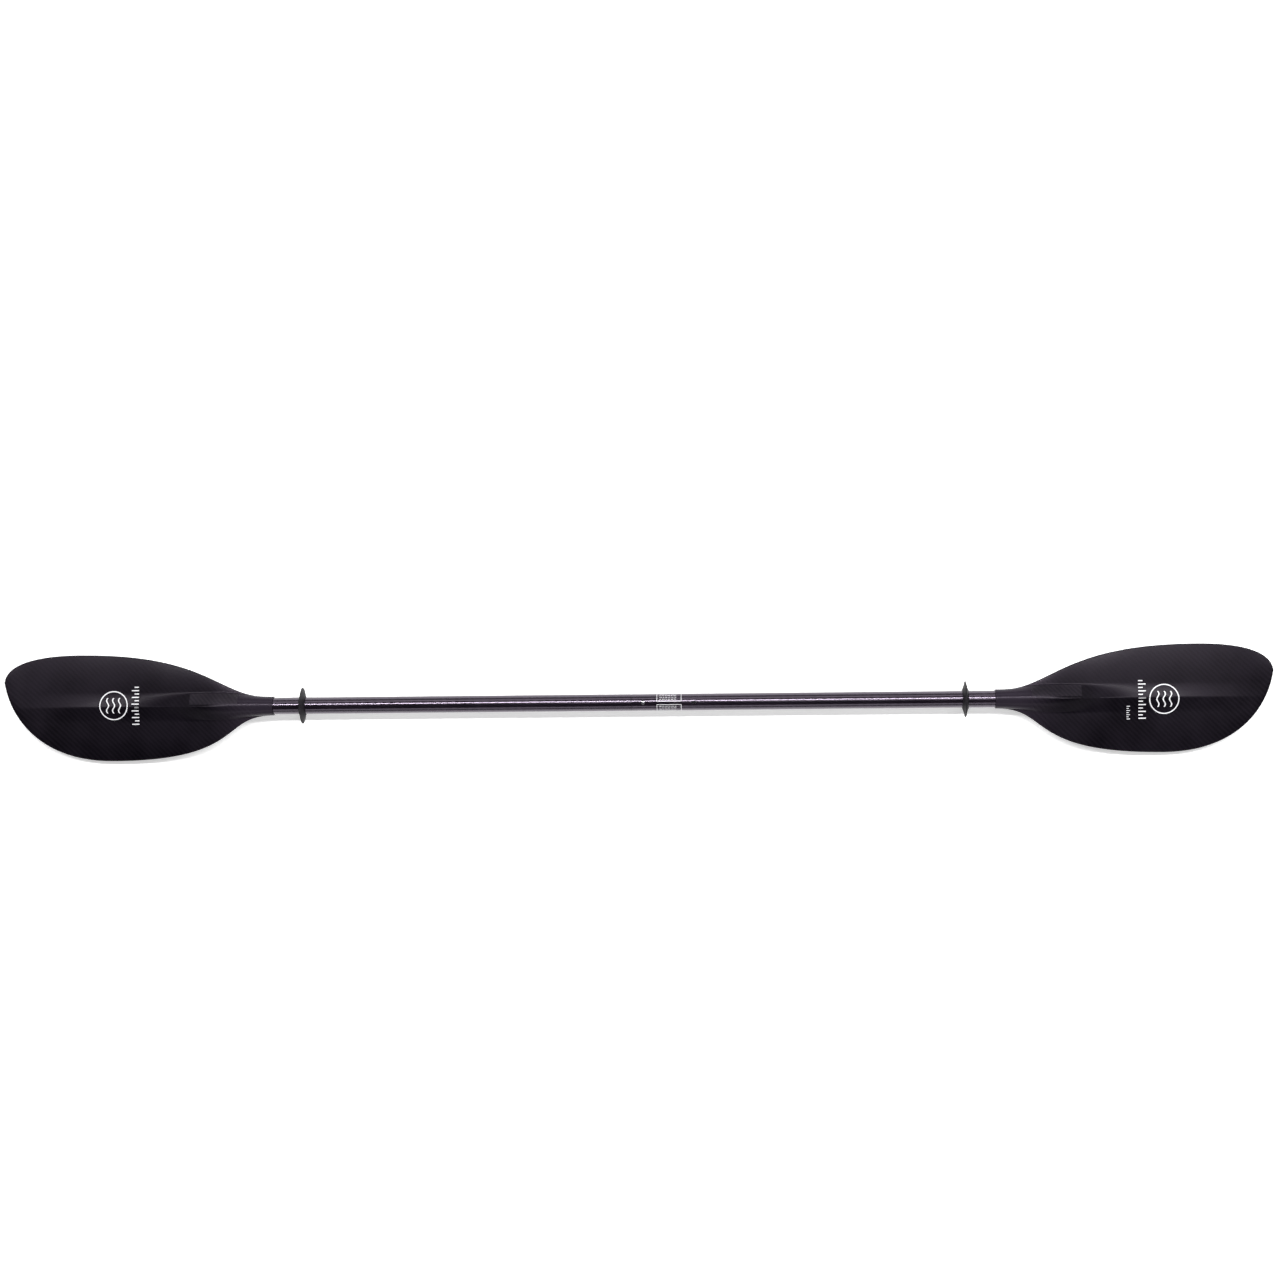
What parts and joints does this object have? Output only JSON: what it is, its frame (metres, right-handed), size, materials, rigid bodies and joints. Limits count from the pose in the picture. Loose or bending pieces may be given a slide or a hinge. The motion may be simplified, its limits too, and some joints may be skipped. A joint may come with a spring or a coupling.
{
  "type": "kayak paddle",
  "caption": "Straight-shaft double-bladed kayak paddle with asymmetric dihedral blades, sliding drip rings and a push-button feather ferrule at mid-shaft.",
  "frame": {"origin": "on the shaft's axis where the two halves meet, at mid-length", "axes": "+X along the shaft to the right blade, +Y across the blades to their longer upper edge, +Z out of the power faces"},
  "size_m": [2.1994, 0.1872, 0.0626],
  "materials": {
    "blade_carbon": "satin twill carbon laminate",
    "shaft_carbon": "smooth satin carbon laminate",
    "ring_rubber": "matt black",
    "foam": "closed-cell foam",
    "ferrule_black": "moulded, satin",
    "ferrule_grey": "moulded, satin",
    "scale_pale": "moulded, satin",
    "window_clear": "clear polycarbonate"
  },
  "bodies": {
    "left_half": {"left_shaft_tube": "shaft_carbon", "left_shaft_plug": "foam", "left_power_face_skin": "blade_carbon", "left_back_face_skin": "blade_carbon", "left_blade_core": "foam", "male_ferrule": "ferrule_black", "feather_scale_ring": "scale_pale", "ferrule_end_cap": "ferrule_black"},
    "left_ring": {"left_drip_ring": "ring_rubber"},
    "sleeve": {"index_sleeve": "ferrule_grey"},
    "button": {"spring_button": "ferrule_grey"},
    "right_half": {"right_shaft_tube": "shaft_carbon", "right_shaft_plug": "foam", "right_power_face_skin": "blade_carbon", "right_back_face_skin": "blade_carbon", "right_blade_core": "foam", "female_liner": "ferrule_black", "female_bulkhead": "foam", "view_window": "window_clear"},
    "right_ring": {"right_drip_ring": "ring_rubber"}
  },
  "joints": [
    {"name": "feather_turn", "type": "hinge", "parent": "left_half", "child": "sleeve", "pos_m": [0.046, 0, 0], "axis": [1, 0, 0], "range_deg": [-60, 60]},
    {"name": "pull_apart", "type": "slide", "parent": "sleeve", "child": "right_half", "axis": [1, 0, 0], "range_m": [0, 0.13], "deforming": ["spring_button"]},
    {"name": "button_press", "type": "hinge", "parent": "sleeve", "child": "button", "pos_m": [0.072, 0, 0.0101], "axis": [0, -1, 0], "range_deg": [0, 4.4], "stiffness_Nm_per_rad": 3, "springref_deg": -1.15},
    {"name": "left_ring_slide", "type": "slide", "parent": "left_half", "child": "left_ring", "axis": [1, 0, 0], "range_m": [-0.045, 0.25]},
    {"name": "right_ring_slide", "type": "slide", "parent": "right_half", "child": "right_ring", "axis": [1, 0, 0], "range_m": [-0.25, 0.045]}
  ]
}
